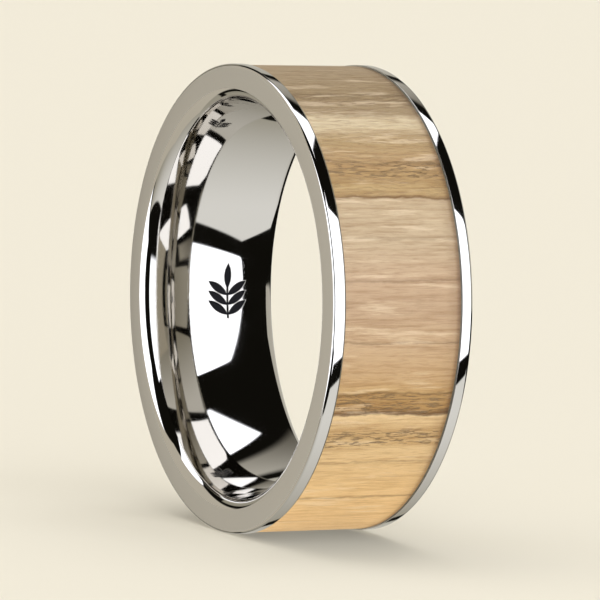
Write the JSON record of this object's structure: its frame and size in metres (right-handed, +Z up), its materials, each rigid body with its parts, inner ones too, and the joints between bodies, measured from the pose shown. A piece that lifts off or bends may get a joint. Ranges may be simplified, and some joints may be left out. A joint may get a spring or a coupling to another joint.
{
  "type": "wedding band",
  "caption": "Round finger ring with a comfort-fit bore: a polished metal sleeve and rear rim holding a turned wood band between two narrow rims.",
  "frame": {"origin": "centre of the finger bore, half way along the band's width", "axes": "+Y along the bore axis, from the front face towards the rear face that has the separate rim; +Z up, with the band standing on its edge; +X to the right, seen from the front face"},
  "size_m": [0.0247, 0.008, 0.0246],
  "materials": {
    "polished_metal": "mirror polished white gold",
    "inlay_wood": "fine sanded, straight grain along the band's axis",
    "adhesive": "cured resin line",
    "sealing_coat": "thin satin clear coat"
  },
  "bodies": {
    "root": {"sleeve": "polished_metal", "rear_rim": "polished_metal", "wood_inlay": "inlay_wood", "inlay_adhesive": "adhesive", "rim_bond": "adhesive", "clear_coat": "sealing_coat"}
  },
  "joints": []
}
